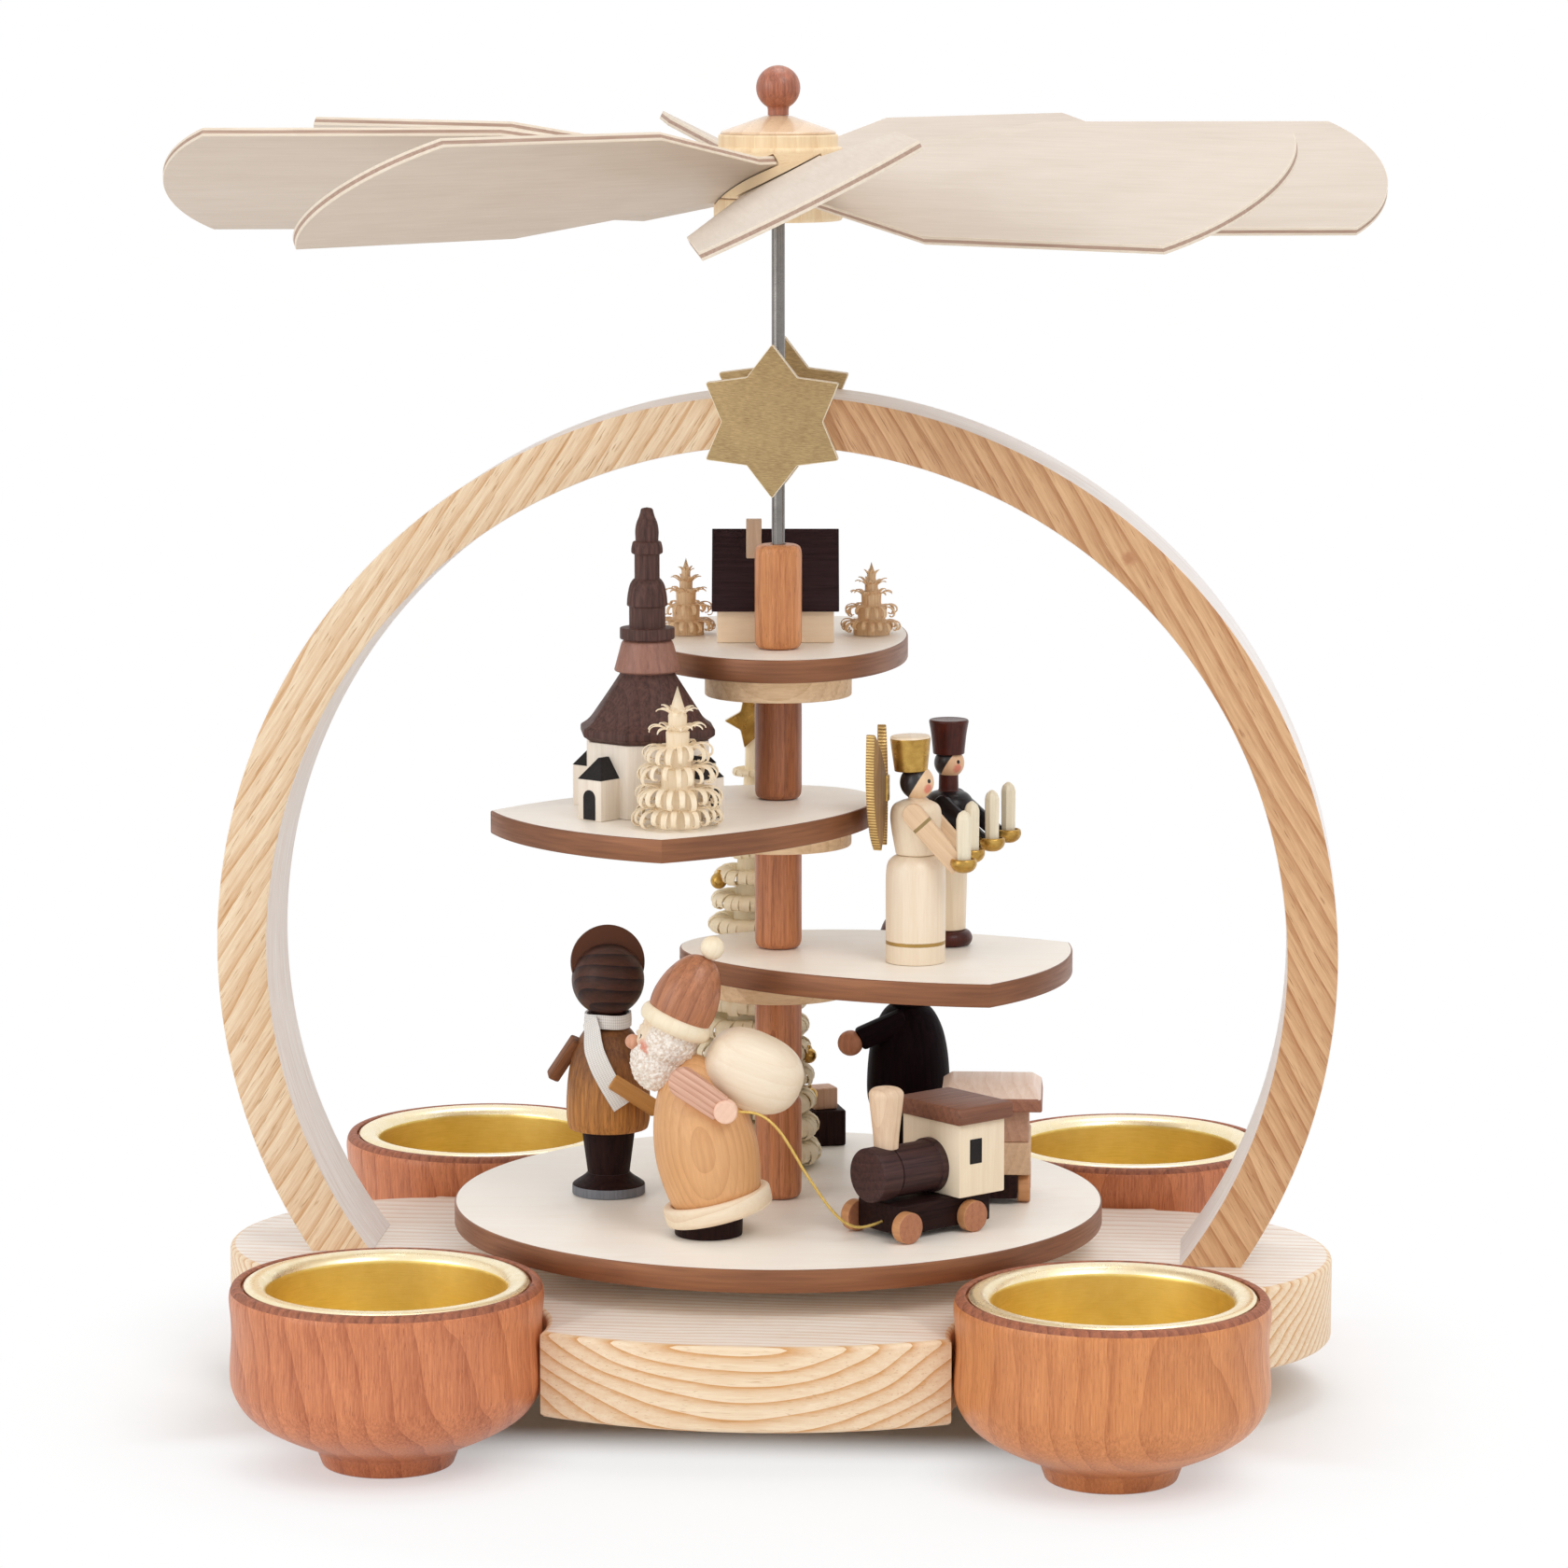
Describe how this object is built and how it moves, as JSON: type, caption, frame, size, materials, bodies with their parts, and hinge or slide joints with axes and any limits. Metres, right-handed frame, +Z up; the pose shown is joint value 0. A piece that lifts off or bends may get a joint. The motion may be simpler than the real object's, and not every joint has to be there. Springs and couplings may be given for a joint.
{
  "type": "christmas pyramid",
  "caption": "Wooden candle pyramid: a slanted-blade fan on a steel spindle turns tiers of carved winter figures inside an arch on a lobed base with tea-light cups.",
  "frame": {"origin": "on the spindle's axis at the level of the table, below the middle of the base plate", "axes": "+Z up along the spindle, +X to the right and +Y away for someone who looks at the stars on the front of the arch"},
  "size_m": [0.209, 0.209, 0.2307],
  "materials": {
    "ash_wood": "fine sanded, open grain",
    "cup_wood": "turned, satin",
    "brass_sheet": "pressed, brushed",
    "steel_rod": "polished",
    "gold_star": "gold lacquer, brushed",
    "maple_hub": "turned, glossy cap",
    "birch_ply": "sanded plywood, natural",
    "tier_ply": "sanded plywood, bronze-brown edge",
    "post_wood": "turned, satin",
    "reddish_ball": "turned, satin",
    "light_wood": "fine sanded",
    "dark_stain": "stained, satin",
    "shaving_wood": "curled shavings",
    "figure_wood": "turned, natural and stained",
    "gold_paint": "gold lacquer",
    "gold_cord": "twisted metallic thread",
    "wagon_wood": "stained blocks"
  },
  "bodies": {
    "stand": {"base_plate": "ash_wood", "arch": "ash_wood", "bearing_cup": "steel_rod", "arch_bush": "brass_sheet", "star_front": "gold_star", "star_rear": "gold_star", "candle_cup_front_left": "cup_wood", "candle_cup_front_right": "cup_wood", "candle_cup_rear_left": "cup_wood", "candle_cup_rear_right": "cup_wood", "light_insert_front_left": "brass_sheet", "light_insert_front_right": "brass_sheet", "light_insert_rear_left": "brass_sheet", "light_insert_rear_right": "brass_sheet"},
    "rotor": {"angel": "light_wood", "angel_wings": "gold_paint", "child_figure": "figure_wood", "church_roof": "dark_stain", "church_walls": "light_wood", "dark_figure": "dark_stain", "fan_blade_1": "birch_ply", "fan_blade_2": "birch_ply", "fan_blade_3": "birch_ply", "fan_blade_4": "birch_ply", "fan_blade_5": "birch_ply", "fan_blade_6": "birch_ply", "fan_blade_7": "birch_ply", "fan_blade_8": "birch_ply", "fan_hub": "maple_hub", "finial_ball": "reddish_ball", "front_tree": "shaving_wood", "gift_bearer": "figure_wood", "gift_sack": "light_wood", "house_chimney": "light_wood", "house_roof": "dark_stain", "house_walls": "light_wood", "hub_cap": "maple_hub", "loco_body": "light_wood", "loco_chassis": "dark_stain", "miner": "dark_stain", "post_lower": "post_wood", "post_lower_second": "post_wood", "post_middle": "post_wood", "post_top": "post_wood", "post_upper": "post_wood", "presents": "dark_stain", "small_tree_left": "shaving_wood", "small_tree_right": "shaving_wood", "spindle": "steel_rod", "tall_tree": "shaving_wood", "tier_1": "tier_ply", "tier_2": "tier_ply", "tier_3": "tier_ply", "tier_4": "tier_ply", "tow_cord": "gold_cord", "wagon": "wagon_wood", "washer_2": "birch_ply", "washer_3": "birch_ply", "washer_4": "birch_ply"}
  },
  "joints": [
    {"name": "rotor_spin", "type": "hinge", "parent": "stand", "child": "rotor", "pos_m": [0, 0, 0.0215], "axis": [0, 0, 1], "continuous": true}
  ]
}
